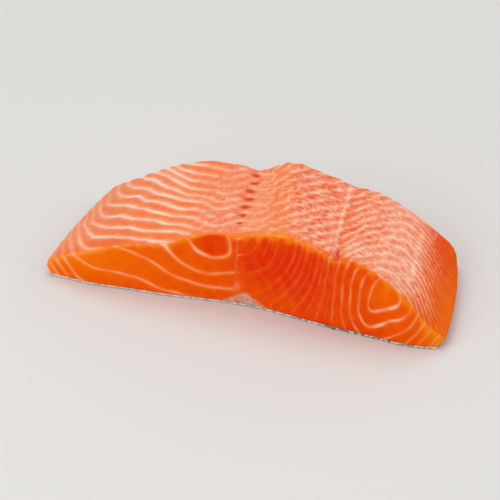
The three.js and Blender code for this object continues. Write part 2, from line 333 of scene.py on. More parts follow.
# The same seams where they run over the belly's top, each (x on the front cut, distance behind it).
BELLY_SEAMS = {
    -5: ((-1, 0), (-1.6, 6)),
    -4: ((1.6, 0), (0, 6), (-1.6, 14)),
    -3: ((5.4, 0), (3, 6), (0, 14), (-1.6, 22)),
    -2: ((9.6, 0), (7.5, 6), (5, 10), (2, 16), (-1.6, 30)),
    -1: ((18, 0.8), (12, 5.6), (9, 9.6), (7.2, 14.6), (5, 19.5), (2, 25)),
    0: ((49, 1), (40, 2.9), (32, 5.2), (25, 7.8), (18, 10.3), (13, 13), (9.5, 16.5), (7, 21.8), (2, 33)),
    1: (
        (62, 1.8), (57.5, 5.6), (52.3, 8.2), (44, 9.3), (36, 10.7), (29.8, 13.2), (22, 16.5), (15.5, 19.6),
        (9.5, 23.4), (6.6, 28.5), (2, 40),
    ),
    2: (
        (66, 3), (60.6, 7.5), (55, 11.6), (48, 14.4), (40, 17.6), (33, 19.2), (26, 22.4), (20, 26.4),
        (14, 28.6), (9, 31), (6, 37), (2, 47),
    ),
    3: (
        (79, 14), (75, 9.5), (71, 6.5), (66, 10), (61, 15.6), (55, 18.8), (47.5, 20.7), (38.5, 24.3),
        (30, 28.2), (24, 32.2), (18, 36.4), (12, 39.2), (6.5, 44), (2, 55),
    ),
    4: (
        (79, 22), (75, 17.5), (71, 14), (67, 16), (62, 21), (58, 24), (52.3, 24.6), (42.7, 29),
        (34, 33.2), (27, 36.7), (20.8, 41.8), (14, 45.6), (8.3, 49.5), (2, 62),
    ),
    5: (
        (79, 30), (75, 25.5), (71, 21.5), (66, 23.4), (60.5, 29.4), (55.8, 30.7), (47.5, 33.2),
        (38.5, 37.1), (30, 41), (26, 45.4), (20, 49.4), (13, 54.2), (7, 60),
    ),
    6: (
        (79, 37), (71, 28.5), (60, 33), (52.3, 36), (45, 38.8), (38.5, 42.5), (31, 47.4), (26, 52),
        (21.4, 56), (14.2, 62.5),
    ),
    7: (
        (79, 44.5), (71, 36), (60, 39.5), (50, 42), (44, 44.6), (38.5, 48.6), (32.7, 52.5), (26, 57.8),
        (20, 63),
    ),
    8: ((79, 52), (71, 43.5), (62, 45), (52, 47), (45, 49), (38.5, 53.2), (32, 57.8), (26, 62.8)),
    9: ((79, 59), (71, 51), (56, 52.5), (46, 54.5), (38, 58), (31, 62.5)),
    10: ((71, 58.5), (60, 58.5), (50, 60), (40, 63)),
}

TOP_ZONES = (
    # x on the front cut; how pale between the seams and at them, partly painted sheen; how red; how amber, a
    # painted glow; seam strength
    (-2, 0.15, 0.30, 0.10, 0.50, 0.20),
    (3, 0.36, 0.56, 0.14, 0.16, 0.34),
    (8, 0.36, 0.66, 0.12, 0.12, 0.66),
    (14, 0.32, 0.84, 0.10, 0.12, 0.95),
    (45, 0.28, 0.82, 0.12, 0.12, 1.00),
    (56, 0.34, 0.78, 0.16, 0.08, 0.66),
    (62, 0.42, 0.80, 0.26, 0.00, 0.44),
    (72, 0.46, 0.80, 0.36, 0.00, 0.30),
    (80, 0.40, 0.80, 0.36, 0.00, 0.45),
    (85, 0.72, 0.86, 0.26, 0.00, 0.14),
    (90, 0.66, 0.86, 0.24, 0.00, 0.16),
    (95, 0.22, 0.65, 0.14, 0.45, 0.26),
    (101, 0.22, 0.70, 0.20, 0.32, 0.34),
    (108, 0.06, 0.80, 0.44, 0.04, 0.45),
    (121, 0.13, 0.85, 0.38, 0.00, 0.42),
    (126, 0.10, 0.78, 0.36, 0.04, 0.48),
    (136, 0.14, 0.84, 0.34, 0.08, 0.52),
    (144, 0.50, 0.92, 0.24, 0.00, 0.40),
    (152, 0.46, 0.88, 0.24, 0.00, 0.48),
    (157, 0.22, 0.76, 0.22, 0.00, 0.72),
    (161, 0.03, 0.36, 0.22, 0.02, 0.70),
    (165, 0.00, 0.06, 0.22, 0.04, 0.34),
    (172, 0.00, 0.00, 0.14, 0.22, 0.06),
)
SIDE_CREEP = 9.0  # how far the bare orange of the dorsal side reaches over the top at the back cut
BACK_FROM, SIDE_FROM = (79, 82), (147, 152)  # x where the back's seams set in, and the dorsal side's
ROUGH_FROM = (56, 66)  # x where the smooth belly turns into the rougher flank
LOIN_FROM = (121.8, 126.8)  # x where the loin rises behind its groove

PIN_LINE_X = 80.0
PIN_FIRST, PIN_PITCH = 5.0, 7.6
LOIN_LINE_X, LOIN_HOOK = 122.2, 2.5
SIDE_SEAM_SHARE = 0.56  # width of a seam on the dorsal side, as a share of one on the top
DENTS = (  # small dark dents where a flake has lifted: x on the front cut, distance behind it
    (117, 44), (118.5, 51.5), (111.5, 39), (116, 28), (113, 60), (109, 58), (107.5, 52), (95, 45),
    (95.5, 33.5), (94, 24.5), (95.5, 54.5), (136.5, 34.5), (130.5, 25.5), (134, 23), (127.3, 27),
)
NET_STRIPS = (  # strips with a net of fine fat: its strength, and where it starts, is full, fades, ends
    (0.22, 124, 130, 152, 158),
    (0.22, 97, 106, 118, 124),
    (0.14, 60, 70, 78, 84),
)
FLAKE_RELIEF = {"belly": 0.45, "back": 0.24, "loin": 0.26, "side": 0.16}  # height in millimetres

# Soft spots on the front cut: strength, x and half width, z and half height, and slope.
FAT_RICH = (
    (0.6, 147, 7, 16.5, 3, 0.5),
    (0.5, 145, 8, 8.5, 2.6, 0.45),
    (0.5, 49, 6, 24, 4, 0),
    (0.3, 65, 5, 24, 3, 0),
)
# The first knot, at the septum's top, is fat with a painted highlight on it.
FAT_KNOTS_AND_GLINT = (
    (1.2, 81.2, 1.2, 33.4, 0.8, 0),
    (0.5, 81.3, 1.3, 9, 2.4, 0),
    (0.8, 49.8, 1.7, 25.6, 1.3, 0),
    (0.5, 9.6, 1.5, 13.8, 1.1, 0),
)
DEEP_RED = ((0.72, 99, 20, 24, 16, 0), (0.16, 85, 5, 22, 7, 0), (-0.32, 146, 6.5, 22, 6, 0))
SEAM_SUNK = 0.16  # depth of a seam on a cut, in millimetres

FIELD_EASE = 30.0  # how far a field of seams may pass its points by, to stay smooth
FLATTEST_FIELD = 4e-4  # the square of the least slope that a seam is drawn for

# Below, x is the place along the front cut, y the distance behind it and z the height, all in
# millimetres. Places and widths in them say where a mark starts, is full, fades and ends.


def cone_field(lines, places):
    """The seams' number at each place, as the smoothest surface through the lines (thin plate)."""
    knots = np.array([point for line in lines.values() for point in line], float)
    numbers = np.array([number for number, line in lines.items() for _ in line], float)

    def bend(a, b):
        squares = ((a[:, None, :] - b[None, :, :]) ** 2).sum(axis=-1)
        return squares * np.log(squares + 1e-9)

    def plane(points):
        return np.hstack([np.ones((len(points), 1)), points])

    size = len(knots)
    system = np.zeros((size + 3, size + 3))
    system[:size, :size] = bend(knots, knots) + FIELD_EASE * np.eye(size)
    system[:size, size:] = plane(knots)
    system[size:, :size] = plane(knots).T
    weights = np.linalg.solve(system, np.concatenate([numbers, np.zeros(3)]))
    flat = places.reshape(-1, 2)
    field = bend(flat, knots) @ weights[:size] + plane(flat) @ weights[size:]
    return field.reshape(places.shape[:-1])


def drift(x, y, size, seed):
    """A smooth random swell, mostly between -1 and 1, with waves about size long."""
    draw = np.random.default_rng(seed)
    total = np.zeros(np.broadcast(x, y).shape)
    for _ in range(7):
        heading, phase = draw.uniform(0, 2 * math.pi, 2)
        wave = size * draw.uniform(0.6, 1.7)
        total += np.sin(2 * math.pi * (x * math.cos(heading) + y * math.sin(heading)) / wave + phase)
    return total / 3.2


def seam_distance(number, points):
    """Distance along the surface to the nearest seam, from the seams' numbers on a grid of points."""
    down, across = np.gradient(points, axis=0), np.gradient(points, axis=1)
    rise_down, rise_across = np.gradient(number)
    a, b, c = ((p * q).sum(axis=-1) for p, q in ((down, down), (down, across), (across, across)))
    steepness = (c * rise_down**2 - 2 * b * rise_down * rise_across + a * rise_across**2) / (
        np.maximum(a * c - b * b, 1e-6)
    )
    return np.abs(number - np.round(number)) / np.sqrt(np.maximum(steepness, FLATTEST_FIELD))


def soft_spots(x, z, spots):
    """The sum of soft spots, each a bell across and a bell up that may slope."""
    return sum(
        strength * bell(x - at_x, wide) * bell(z - at_z - slope * (x - at_x), high)
        for strength, at_x, wide, at_z, high, slope in spots
    )


def pin_pits(x, y):
    """Strength of the row of pits that the pin bones leave."""
    nearest = np.round((y - PIN_FIRST) / PIN_PITCH)
    along = y - PIN_FIRST - nearest * PIN_PITCH
    size = 1 + 0.2 * np.sin(5.1 * nearest) + 0.009 * (y - 30)
    aside = x - PIN_LINE_X - 0.5 * np.sin(3.3 * nearest)
    pits = bell(aside, np.maximum(0.6, 1.9 - 0.45 * along) * size) * bell(along, 1.75 * size)
    return pits * ramp(y, 6, 8)


def dents(x, y):
    """Strength of the small slanting dents."""
    total = sum(
        bell(x - at_x - 0.5 * (y - at_y), 1.0) * bell(y - at_y, 1.4) for at_x, at_y in DENTS
    )
    return np.clip(total, 0, 1)


def groove_gap(x, y):
    """Distance across to the loin's groove, which hooks round towards the front cut."""
    return x - LOIN_LINE_X - LOIN_HOOK * np.exp(-np.maximum(0, y) / 6)


def flake_height(number):
    """A flake is highest in its middle and lowest at its seams."""
    return -(0.5 + 0.5 * np.cos(2 * math.pi * number))


def by_part(x, belly, back, side):
    """Joins what the belly, the back and the dorsal side of the top each show."""
    on_back, on_side = ramp(x, *BACK_FROM), ramp(x, *SIDE_FROM)
    return (belly * (1 - on_back) + back * on_back) * (1 - on_side) + side * on_side


def top_zones(slab):
    """The columns of TOP_ZONES over the top, with wandering borders."""
    x, y = slab.front_x, slab.along
    zones = np.array(TOP_ZONES).T
    crept = x + 1.5 * drift(x, y, 14, 2) + SIDE_CREEP * (y / slab.depth) ** 1.5 * ramp(x, 138, 150)
    return (np.interp(crept, zones[0], zone) for zone in zones[1:])


def top_fields(slab, pitch):
    """The seams' number over the top, as the belly, the back and the dorsal side have it."""
    x, y = slab.front_x, slab.along
    loose = 0.06 + 0.12 * ramp(x, 56, 72) + 0.2 * stretch(x, 100, 112, 150, 158)
    xs = x + 0.3 * drift(x, y, 15, 3) + loose * drift(x, y, 4, 4)
    ys = y + 0.32 * drift(x, y, 12, 5) + loose * drift(x, y, 4, 6)
    edge = cone_field(DORSAL_RINGS, slab.near)
    chevron = 0.85 * np.clip((87 - x) / 7, 0, 1)
    belly = cone_field(BELLY_SEAMS, np.stack([xs, ys], axis=-1))
    back = ys / pitch + edge - chevron + 0.1 * drift(x, y, 6, 7)
    side = 2 * ys / pitch + edge + 0.05 * drift(x, y, 9, 8)
    return belly, back, side


def top_seams(x, distances, half_width):
    """How strongly each point shows a seam, from its distance to one of each part."""
    belly, back, side = distances
    side_width = SIDE_SEAM_SHARE * half_width
    return by_part(x, bell(belly, half_width), bell(back, half_width), bell(side, side_width))


def stray_fat_and_sheen(x, y):
    """Pale marks apart from the seams: the groove's pale lip and curls of fat, and painted light: a sheen
    streak along a fold, flecks of glint and a broad sheen.
    """
    lip = bell(groove_gap(x, y) + 0.2, 0.45) * ramp(y, 9, 14)
    lip *= np.clip(0.85 + 0.35 * drift(x, y, 7, 19), 0, 1)
    fold = bell(x - 154.5 + 0.05 * y - 0.5 * drift(y, 0 * y, 9, 25), 0.9) * stretch(y, 6, 16, 44, 54)
    fold *= 0.8 + 0.5 * drift(x, y, 4, 20)
    curls = bell(x - 128.5, 3.4) * bell(y - 5, 7) * (0.55 + 0.5 * drift(x, y, 4.5, 21))
    flecks = bell(x - 117, 6) * np.clip(drift(x, y, 3.2, 22) - 0.15, 0, 1)
    sheen = stretch(x, 138, 144, 152, 157) * np.clip(1 + drift(3.2 * x, y, 9, 24), 0, 2)
    return 0.85 * lip + 0.8 * fold + 0.4 * np.clip(curls, 0, 1) + 0.45 * flecks + 0.16 * sheen


def pits_and_hollows(x, y):
    """How dark the pits, groove and dents are, from 0 to 1, and how deep, in millimetres."""
    pins, torn, gap = pin_pits(x, y), dents(x, y), groove_gap(x, y)
    mouth = bell(x - 124.3, 1.3) * (1 - ramp(y, 15, 22))
    red_mouth = bell(x - 124.2 - 0.5 * drift(x, y, 9, 26), 0.85) * (1 - ramp(y, 3, 20))
    dark_groove = bell(gap - 1.1, 0.6) * np.clip(0.4 + 0.5 * drift(x, y, 6, 23), 0, 1)
    pit = np.clip(1.5 * pins + 0.8 * red_mouth + 0.7 * dark_groove + 0.62 * torn, 0, 1)
    depth = 0.7 * bell(x - PIN_LINE_X, 3) + 0.8 * pins + 0.35 * torn
    return pit, depth + 0.6 * bell(gap - 0.6, 1.8) + 0.9 * mouth


def top_marks(slab, fields, half_width, pit):
    """What the top shows, as one number from 0 to 1 for each mark."""
    x, y, z = slab.front_x, slab.along, slab.top[..., 2]
    between, pale, deep, painted_glow, strength = top_zones(slab)
    belly, back, _ = fields
    distances = [seam_distance(field, slab.top) for field in fields]

    rough = ramp(x, *ROUGH_FROM)
    broken = 0.94 + (0.16 + 0.24 * rough) * drift(x, y, 9, 11) - 0.5 * rough * drift(x, y, 3.8, 12)
    broken = np.clip(broken + 0.28 * ramp(x, *SIDE_FROM) * drift(x, y, 6, 14), 0.2, 1.15)
    slim = 1.15 - 0.35 * ramp(x, 96, 106) - 0.4 * (1 - ramp(x, 4, 18))
    core = top_seams(x, distances, half_width * (slim + 0.18 * drift(x, y, 12, 13)))
    halo = top_seams(x, distances, 2.3 * half_width)
    faint = 1 - 0.55 * stretch(x, 42, 56, 74, 80) * ramp(y, 26, 44)
    second = bell(seam_distance(belly + 0.5, slab.top), 0.45) * bell(x - 36, 13) * ramp(y, 40, 52)
    seam = strength * faint * broken * (0.92 * core + 0.05 * halo) + 0.1 * second + stray_fat_and_sheen(x, y)

    # Painted shade: the flesh is darker just behind a seam, on the slope that faces away from the light, and
    # pales towards the next one.
    between = between * by_part(x, 0.4 + 1.1 * (belly % 1), 0.4 + 1.1 * (back % 1), 0.9)
    # Bloom is partly painted sheen, strongest on the top and fading towards the foot.
    bloom_and_sheen = between + (pale - between) * halo * np.clip(broken + 0.2, 0, 1)
    bloom_and_sheen *= (1 + 0.18 * drift(x, y, 6, 37)) * ramp(z, 2, 9)

    # Next to the front cut the knife has wiped the bloom off, and with it the painted sheen.
    reach = 3.9 + 0.9 * ramp(x, 82, 92) + 1.6 * drift(x, 0 * y, 4.5, 39)
    bare = (1 - ramp(y, 0.4 * reach, reach)) * ramp(x, 50, 58) * (1 - 0.6 * ramp(x, 126, 134))
    bare_belly = (1 - ramp(y, 2, 11)) * stretch(x, -2, 4, 30, 46)
    bloom_and_sheen *= (1 - 0.85 * bare) * (1 - 0.6 * bare_belly)

    net = 0.22 * bell(x - 131, 8) * bell(y - 6, 10)
    net += sum(share * stretch(x, *strip) for share, *strip in NET_STRIPS)
    net *= np.clip(0.9 + 0.6 * drift(x, y, 9, 27), 0, 1.6) * (1 - bare) * (1 - pit)
    return {
        "seam": seam * (1 - 0.45 * bare) * (1 - pit),
        "pit": pit,
        "bloom_and_sheen": bloom_and_sheen,
        "speckle_and_glint": stretch(x, 88, 104, 156, 166) + 0.6 * stretch(x, 56, 66, 88, 96),
        # The last term of deep is a painted shadow over the back of the dorsal side, darkest towards the
        # back cut.
        "deep": deep + 0.14 * drift(x, y, 8, 41) + 0.75 * ramp(y, 20, 60) * ramp(x, 153, 163),
        "painted_glow": painted_glow + 0.6 * bare * (1 - ramp(x, 112, 122)),
        "net": net,
    }


def top_relief(slab, fields, hollows):
    """Height of the flakes above the smooth form in millimetres, less the hollows."""
    x, y, z = slab.front_x, slab.along, slab.top[..., 2]
    flakes = [flake_height(field) for field in fields]
    belly, loin, side = 1 - ramp(x, 60, 80), ramp(x, *LOIN_FROM), ramp(x, *SIDE_FROM)
    relief = FLAKE_RELIEF["belly"] * belly * (0.4 + 0.6 * ramp(x, 0, 9)) * flakes[0]
    relief += FLAKE_RELIEF["back"] * (1 - belly - loin) * flakes[1]
    relief += FLAKE_RELIEF["loin"] * loin * (1 - side) * flakes[1] + FLAKE_RELIEF["side"] * side * flakes[2]
    rough = ramp(x, *ROUGH_FROM)
    relief += (0.04 + 0.06 * rough) * drift(x, y, 5, 29) + (0.02 + 0.03 * rough) * drift(x, y, 2.6, 31)
    return (relief - hollows) * ramp(z, slab.skin, slab.skin + 3)


def top_pattern(slab, sizes):
    """The marks of the top, and its relief in millimetres."""
    fields = top_fields(slab, sizes.flake_pitch / MM)
    pit, hollows = pits_and_hollows(slab.front_x, slab.along)
    marks = top_marks(slab, fields, sizes.seam_on_top / MM, pit)
    return marks, top_relief(slab, fields, hollows)


def cut_seams(points, ventral, dorsal, half_width, below_edge):
    """How strongly each point of a cut shows fat, and how rich the fat is there."""
    x, z = points[..., 0], points[..., 2]
    rich = soft_spots(x, z, FAT_RICH)
    middle = stretch(x, 81, 84, 118, 130)
    uneven = np.clip(0.9 + 0.45 * drift(x, z, 8, 54) + 0.35 * middle * drift(x, z, 3.6, 55), 0.1, 1.3)
    tips = 1 + 1.2 * (1 - ramp(below_edge, 0.5, 5)) * stretch(x, 84, 92, 126, 132)
    left = bell(seam_distance(ventral, points), half_width * (1.5 + rich)) * (0.85 + rich)
    right = bell(seam_distance(dorsal, points), half_width * (1 + 1.5 * rich)) * (0.66 + rich)
    right *= 1 - 0.74 * middle
    right += 0.14 * bell(seam_distance(dorsal + 0.5, points), half_width) * middle
    right *= uneven * tips * (1 - 0.4 * middle * (1 - ramp(x, 98, 110))) * (1 - 0.4 * bell(x - 125, 5))
    seam = np.where(x < SEPTUM_X, left, right) * np.clip(0.95 + 0.3 * drift(x, z, 9, 53), 0, 1.2)
    seam *= 1 - 0.9 * bell(x - SEPTUM_X, 0.9)
    septum = bell(x - SEPTUM_X - 0.3 * drift(z, 0 * z, 7, 64), 0.5) * ramp(z, 12, 20)
    return seam + 0.22 * septum + soft_spots(x, z, FAT_KNOTS_AND_GLINT), rich


def cut_pattern(slab, points, number_shift, sizes):
    """The marks of a cut face, and how deep its seams lie in millimetres."""
    x, z = points[..., 0], points[..., 2]
    wobbly = np.stack([x + 0.16 * drift(x, z, 11, 43), z + 0.16 * drift(x, z, 10, 47)], axis=-1)
    ventral, dorsal = (cone_field(rings, wobbly) + number_shift for rings in (VENTRAL_RINGS, DORSAL_RINGS))
    below_edge = slab.near[:, 1] - z
    seam, rich = cut_seams(points, ventral, dorsal, sizes.seam_on_cut / MM, below_edge)
    soft_edge = (1 - ramp(below_edge, 0.1, 2.4)) * stretch(x, 2, 8, 44, 56)
    soft_edge *= np.clip(0.8 + 0.6 * drift(x, z, 5, 65), 0, 1.4)
    frayed = 1 - ramp(z - slab.foot_height(x, 0), 0.2, 1.1 + 0.5 * drift(x, z, 4, 58))
    seam += 0.55 * frayed * bell(x - MUSCLE_APEX[0][0], MUSCLE_HALF_WIDTH)

    number = np.where(x < SEPTUM_X, ventral, dorsal)
    inmost = (1 - ramp(ventral - number_shift, 0.78, 1.02)) * (1 - ramp(x, 76, 79))
    deep = 0.10 - 0.07 * np.cos(2 * math.pi * number) + 0.4 * inmost + soft_spots(x, z, DEEP_RED)
    deep += 0.26 * stretch(x, 100, 116, 138, 164) + 0.22 * bell(x - 104, 32)
    # Its first term is painted shade, darker towards the cut's foot, except at the belly end.
    deep += 0.16 * (1 - ramp(z, 1, 7)) * ramp(x, 10, 60) + 0.10 * drift(x, z, 8, 59)
    # Painted glow: an amber band under the cut's upper edge, and amber patches towards its belly and dorsal
    # ends.
    rim = 3.4 * (1 + 0.45 * drift(x, 0 * z, 6, 60)) * (1 - 0.65 * bell(x - 70, 8))
    painted_glow = 0.75 * (1 - ramp(below_edge, 0, rim)) + 0.5 * (1 - ramp(x, 0, 60)) * bell(z - 14, 8)
    painted_glow += 0.5 * ramp(x, 158, 170) + 0.15 * bell(x - 146, 6) * bell(z - 22, 6)
    marks = {"seam": seam, "deep": deep, "painted_glow": painted_glow, "bloom_and_sheen": 0.8 * rich * seam + 0.34 * soft_edge}
    marks.update({name: np.zeros(x.shape) for name in ("pit", "speckle_and_glint", "net")})
    return marks, SEAM_SUNK * np.clip(seam, 0, 1)


# ---- Meshes ----


def normals_of(points):
    normals = np.cross(np.gradient(points, axis=1), np.gradient(points, axis=0))
    return normals / np.maximum(np.linalg.norm(normals, axis=-1, keepdims=True), 1e-9)


class ClosedMesh:
    """Collects grids of points that share their edges, and turns them into one closed mesh."""

    def __init__(self):
        self.points, self.marks, self.faces, self.finishes = [], {}, [], []

    def add(self, points, marks):
        """Adds a grid's points and marks, and returns their numbers as a grid."""
        start = len(self.points)
        self.points.extend(points.reshape(-1, 3).tolist())
        for name, values in marks.items():
            self.marks.setdefault(name, []).extend(np.clip(values, 0, 1).ravel().tolist())
        return np.arange(start, start + points.shape[0] * points.shape[1]).reshape(points.shape[:2])

    def cover(self, index, finish=0, turned=False):
        """Covers a grid of numbers with faces, leaving out the sides that have shrunk to a point."""
        a, b, c, d = index[:-1, :-1], index[:-1, 1:], index[1:, 1:], index[1:, :-1]
        corners = np.stack([a, d, c, b] if turned else [a, b, c, d], axis=-1).reshape(-1, 4)
        finishes = np.broadcast_to(finish, a.shape).ravel()
        for quad, look in zip(corners.tolist(), finishes.tolist()):
            face = [corner for place, corner in enumerate(quad) if corner != quad[place - 1]]
            if len(face) > 2:
                self.cap(face, look)

    def cap(self, outline, finish=0):
        self.faces.append(outline)
        self.finishes.append(finish)

    def end(self, top_index, back, face, marks, finish=0):
        """Adds a cut face that hangs from one end of the top, and returns the numbers of its foot."""
        index = self.add(face, marks)
        index[0] = top_index[-1 if back else 0]
        index[:, 0], index[:, -1] = index[0, 0], index[0, -1]
        self.cover(index, finish, turned=not back)
        return index[-1].tolist()

    def underside(self, top_index, feet, creases, finish=0):
        """Closes the underside from foot to foot, in flat strips between the creases."""
        left, right = top_index[1:-1, 0].tolist(), top_index[1:-1, -1].tolist()
        last = len(creases[0]) - 2
        for strip in range(last + 1):
            near, far = (foot[fold[strip] : fold[strip + 1] + 1] for foot, fold in zip(feet, creases))
            outline = near + (right if strip == last else []) + far[::-1]
            outline += left[::-1] if strip == 0 else []
            self.cap(outline[::-1], finish)

    def piece(self, name, shift, materials):
        """The mesh as an object, without the points that no face uses."""
        used = sorted({corner for face in self.faces for corner in face})
        number = {old: new for new, old in enumerate(used)}
        faces = [[number[corner] for corner in face] for face in self.faces]
        mesh = bpy.data.meshes.new(name)
        mesh.from_pydata(((np.array(self.points)[used] + shift) * MM).tolist(), [], faces)
        for mark, values in self.marks.items():
            layer = mesh.attributes.new(mark, "FLOAT", "POINT")
            layer.data.foreach_set("value", np.array(values)[used])
        mesh.polygons.foreach_set("material_index", self.finishes)
        for material in materials:
            mesh.materials.append(material)
        mesh.shade_smooth()
        return linked(name, mesh)


def frame_shift(slab):
    """From the belly foot of the front cut to the frame's origin."""
    low, high = (pick(slab.top.reshape(-1, 3), axis=0) for pick in (np.min, np.max))
    middle = (np.array(FLESH_BOX[0]) + np.array(FLESH_BOX[1])) / 2 / MM
    return np.array([middle[0] - (low[0] + high[0]) / 2, middle[1] - (low[1] + high[1]) / 2, 0.0])


CUT_ROWS = (56, 30)  # rows of faces down the front cut and the back cut
EDGE_REACH = 1.2  # how far from a cut its rounded edge starts
TRIMMED_FROM = 157.0  # x from which the dorsal side is a trimmed face, as matt as the cuts


def dressed_top(slab, sizes):
    """The top with its relief and its knife-rounded edges, and the marks that it shows."""
    marks, relief = top_pattern(slab, sizes)
    normals = normals_of(slab.top)
    normals[..., 1] = 0
    from_cut = np.minimum(slab.along, slab.depth - slab.along)
    rounding = (sizes.cut_edge / MM) * np.maximum(0, 1 - from_cut / EDGE_REACH) ** 2
    top = slab.top + normals * (relief - rounding)[..., None]
    top[:, 0], top[:, -1] = slab.top[:, 0], slab.top[:, -1]
    inward = np.where(slab.along < slab.depth / 2, rounding, -rounding)
    top[..., 1] += inward * ramp(top[..., 2], 1, 4)
    return top, marks


def build_flesh(sizes, materials):
    slab = Slab(sizes)
    top, marks = dressed_top(slab, sizes)
    parts = ClosedMesh()
    top_index = parts.add(top, marks)
    trimmed = slab.front_x + 2.6 * drift(slab.front_x, slab.along, 5, 15) > TRIMMED_FROM
    parts.cover(top_index, trimmed[:-1, :-1].astype(int))
    feet, creases = [], []
    for back, rows in enumerate(CUT_ROWS):
        face = slab.cut(top[-1 if back else 0], back, rows)
        on_front = slab.cut(slab.top[0], 0, rows)
        number_shift = back * slab.depth / (sizes.flake_pitch / MM)
        marks, sunk = cut_pattern(slab, on_front, number_shift, sizes)
        face[1:-1, 1:-1, 1] += (-1 if back else 1) * sunk[1:-1, 1:-1]
        foot = parts.end(top_index, back, face, marks, finish=1)
        foot_x = np.array([parts.points[number][0] for number in foot])
        apex = MUSCLE_APEX[back][0]
        folds = (apex - MUSCLE_HALF_WIDTH, apex, apex + MUSCLE_HALF_WIDTH)
        creases.append([0, *(int(np.abs(foot_x - fold).argmin()) for fold in folds), len(foot) - 1])
        feet.append(foot)
    parts.underside(top_index, feet, creases, finish=1)
    return parts.piece("flesh_flaky", frame_shift(slab), materials)


# ---- Dark muscle and skin ----

MUSCLE_COLUMNS, MUSCLE_ROWS, MUSCLE_CUT_ROWS = 48, 64, 10
MUSCLE_GAP = 0.05  # between the dark muscle and the flesh over it


def muscle_cut_marks(face, middle_x):
    """Fat along the dark muscle's upper edge and in a streak, and flesh that frays over its sides."""
    x, z = face[..., 0], face[..., 2]
    under_edge = z[0] - z
    fat = bell(under_edge, 0.7) * (0.8 + 0.3 * drift(x, z, 4, 61))
    fat += 0.5 * bell(z - 2.1 - 0.3 * drift(x, z, 7, 62), 0.3)
    frayed = 1 - ramp(under_edge, 0.3, 0.9 + 0.9 * drift(x, z, 5, 63))
    return {"fat": fat, "flesh": 0.75 * frayed * ramp(np.abs(x - middle_x), 1, 5)}


def build_dark_muscle(sizes, materials):
    slab = Slab(sizes)
    share = np.linspace(0, 1, MUSCLE_ROWS + 1)[:, None]
    across = np.linspace(-1, 1, MUSCLE_COLUMNS + 1)
    (near_x, near_z), (far_x, far_z) = MUSCLE_APEX
    x = near_x * (1 - share) + far_x * share + (MUSCLE_HALF_WIDTH - MUSCLE_GAP) * across
    y = front_cut_y(x) * (1 - share) + back_cut_y(x, slab.depth) * share
    peak = near_z * (1 - share) + far_z * share
    z = slab.skin + (peak - slab.skin) * (1 - np.abs(across)) - MUSCLE_GAP * (1 - across**2)
    ridge = np.stack([x, y, z], axis=-1)

    parts = ClosedMesh()
    top_index = parts.add(ridge, {"fat": np.full(z.shape, 0.8), "flesh": np.zeros(z.shape)})
    parts.cover(top_index)
    feet = []
    down = np.linspace(0, 1, MUSCLE_CUT_ROWS + 1)[:, None]
    for back in (0, 1):
        edge = ridge[-1 if back else 0]
        edge_x, edge_y, edge_z = (value + 0 * down for value in edge.T)
        face = np.stack([edge_x, edge_y, edge_z * (1 - down) + slab.skin * down], axis=-1)
        marks = muscle_cut_marks(face, edge[:, 0].mean())
        feet.append(parts.end(top_index, back, face, marks))
    parts.underside(top_index, feet, [[0, MUSCLE_COLUMNS]] * 2)
    return parts.piece("dark_muscle_ridge", frame_shift(slab), materials)


SKIN_COLUMNS = 340
SKIN_UNDERSIDE = 0.18  # height of the sheet's underside, which its scales stand out from
SKIN_RIM = ((0.0, 1.0), (0.8, 0.85), (1.0, 0.55), (0.7, 0.25), (0.0, 0.0))  # share out, share up


def build_skin(sizes, materials):
    """The skin as one sheet, a little wider than the flesh, with a soft uneven rim."""
    slab = Slab(sizes)
    low, high = slab.top[:, 0], slab.top[:, -1]
    near_x, far_x = (np.linspace(low[k, 0], high[k, 0], SKIN_COLUMNS) for k in (0, -1))
    near = np.column_stack([near_x, front_cut_y(near_x)])
    far = np.column_stack([far_x, back_cut_y(far_x, slab.depth)])
    outline = np.vstack([near, high[1:-1, :2], far[::-1], low[1:-1, :2][::-1]])
    onward = np.roll(outline, -1, axis=0) - np.roll(outline, 1, axis=0)
    outward = np.column_stack([onward[:, 1], -onward[:, 0]])
    outward /= np.linalg.norm(outward, axis=1, keepdims=True)
    overhang = sizes.skin_overhang / MM
    ragged = 1 + 0.35 * drift(outline[:, 0], outline[:, 1], 5, 71)

    parts = ClosedMesh()
    rings = []
    for out, up in SKIN_RIM:
        plan = outline + outward * (overhang * out * ragged)[:, None]
        height = SKIN_UNDERSIDE + (slab.skin - SKIN_UNDERSIDE) * up
        rings.append(np.column_stack([plan, np.full(len(plan), height)]))
    index = parts.add(np.stack(rings), {})
    parts.cover(np.hstack([index, index[:, :1]]), turned=True)
    parts.cap(index[0].tolist())
    parts.cap(index[-1][::-1].tolist())
    return parts.piece("skin_sheet", frame_shift(slab), materials)


SCALE_RADIUS = 0.56  # a scale's radius, as a share of the pitch between scales
SCALE_ROW = 0.84  # the pitch along the fish, as a share of the pitch across it
SCALE_HEIGHT = 0.17  # height of the scales' middles
SCALE_TILT = math.radians(3.2)
SCALE_SIDES, SCALE_TOP, SCALE_THICKNESS = 12, 0.8, 0.028  # the last two as shares of the radius
SCALE_STRAY, SCALE_TURN = 0.07, 2.2  # how far a scale strays, as a share of a row, and turns with it
SCALE_SPREAD = ((0.88, 0.98, 1.0), (1.0, 1.1, 1.0))  # the smallest and the largest scale
SCALE_MARGIN = 2.1  # how many radii the rows of scales are spread, to keep whole scales at the rim
SCALE_SOCKETS = (
    ("Sheet", "Geometry"),
    ("Length", "Float"),
    ("Width", "Float"),
    ("Across", "Int"),
    ("Along", "Int"),
    ("Scale radius", "Float"),
    ("Margin", "Vector"),
    ("Height", "Float"),
    ("Tilt", "Float"),
    ("Seed", "Int"),
    ("Material", "Material"),
)


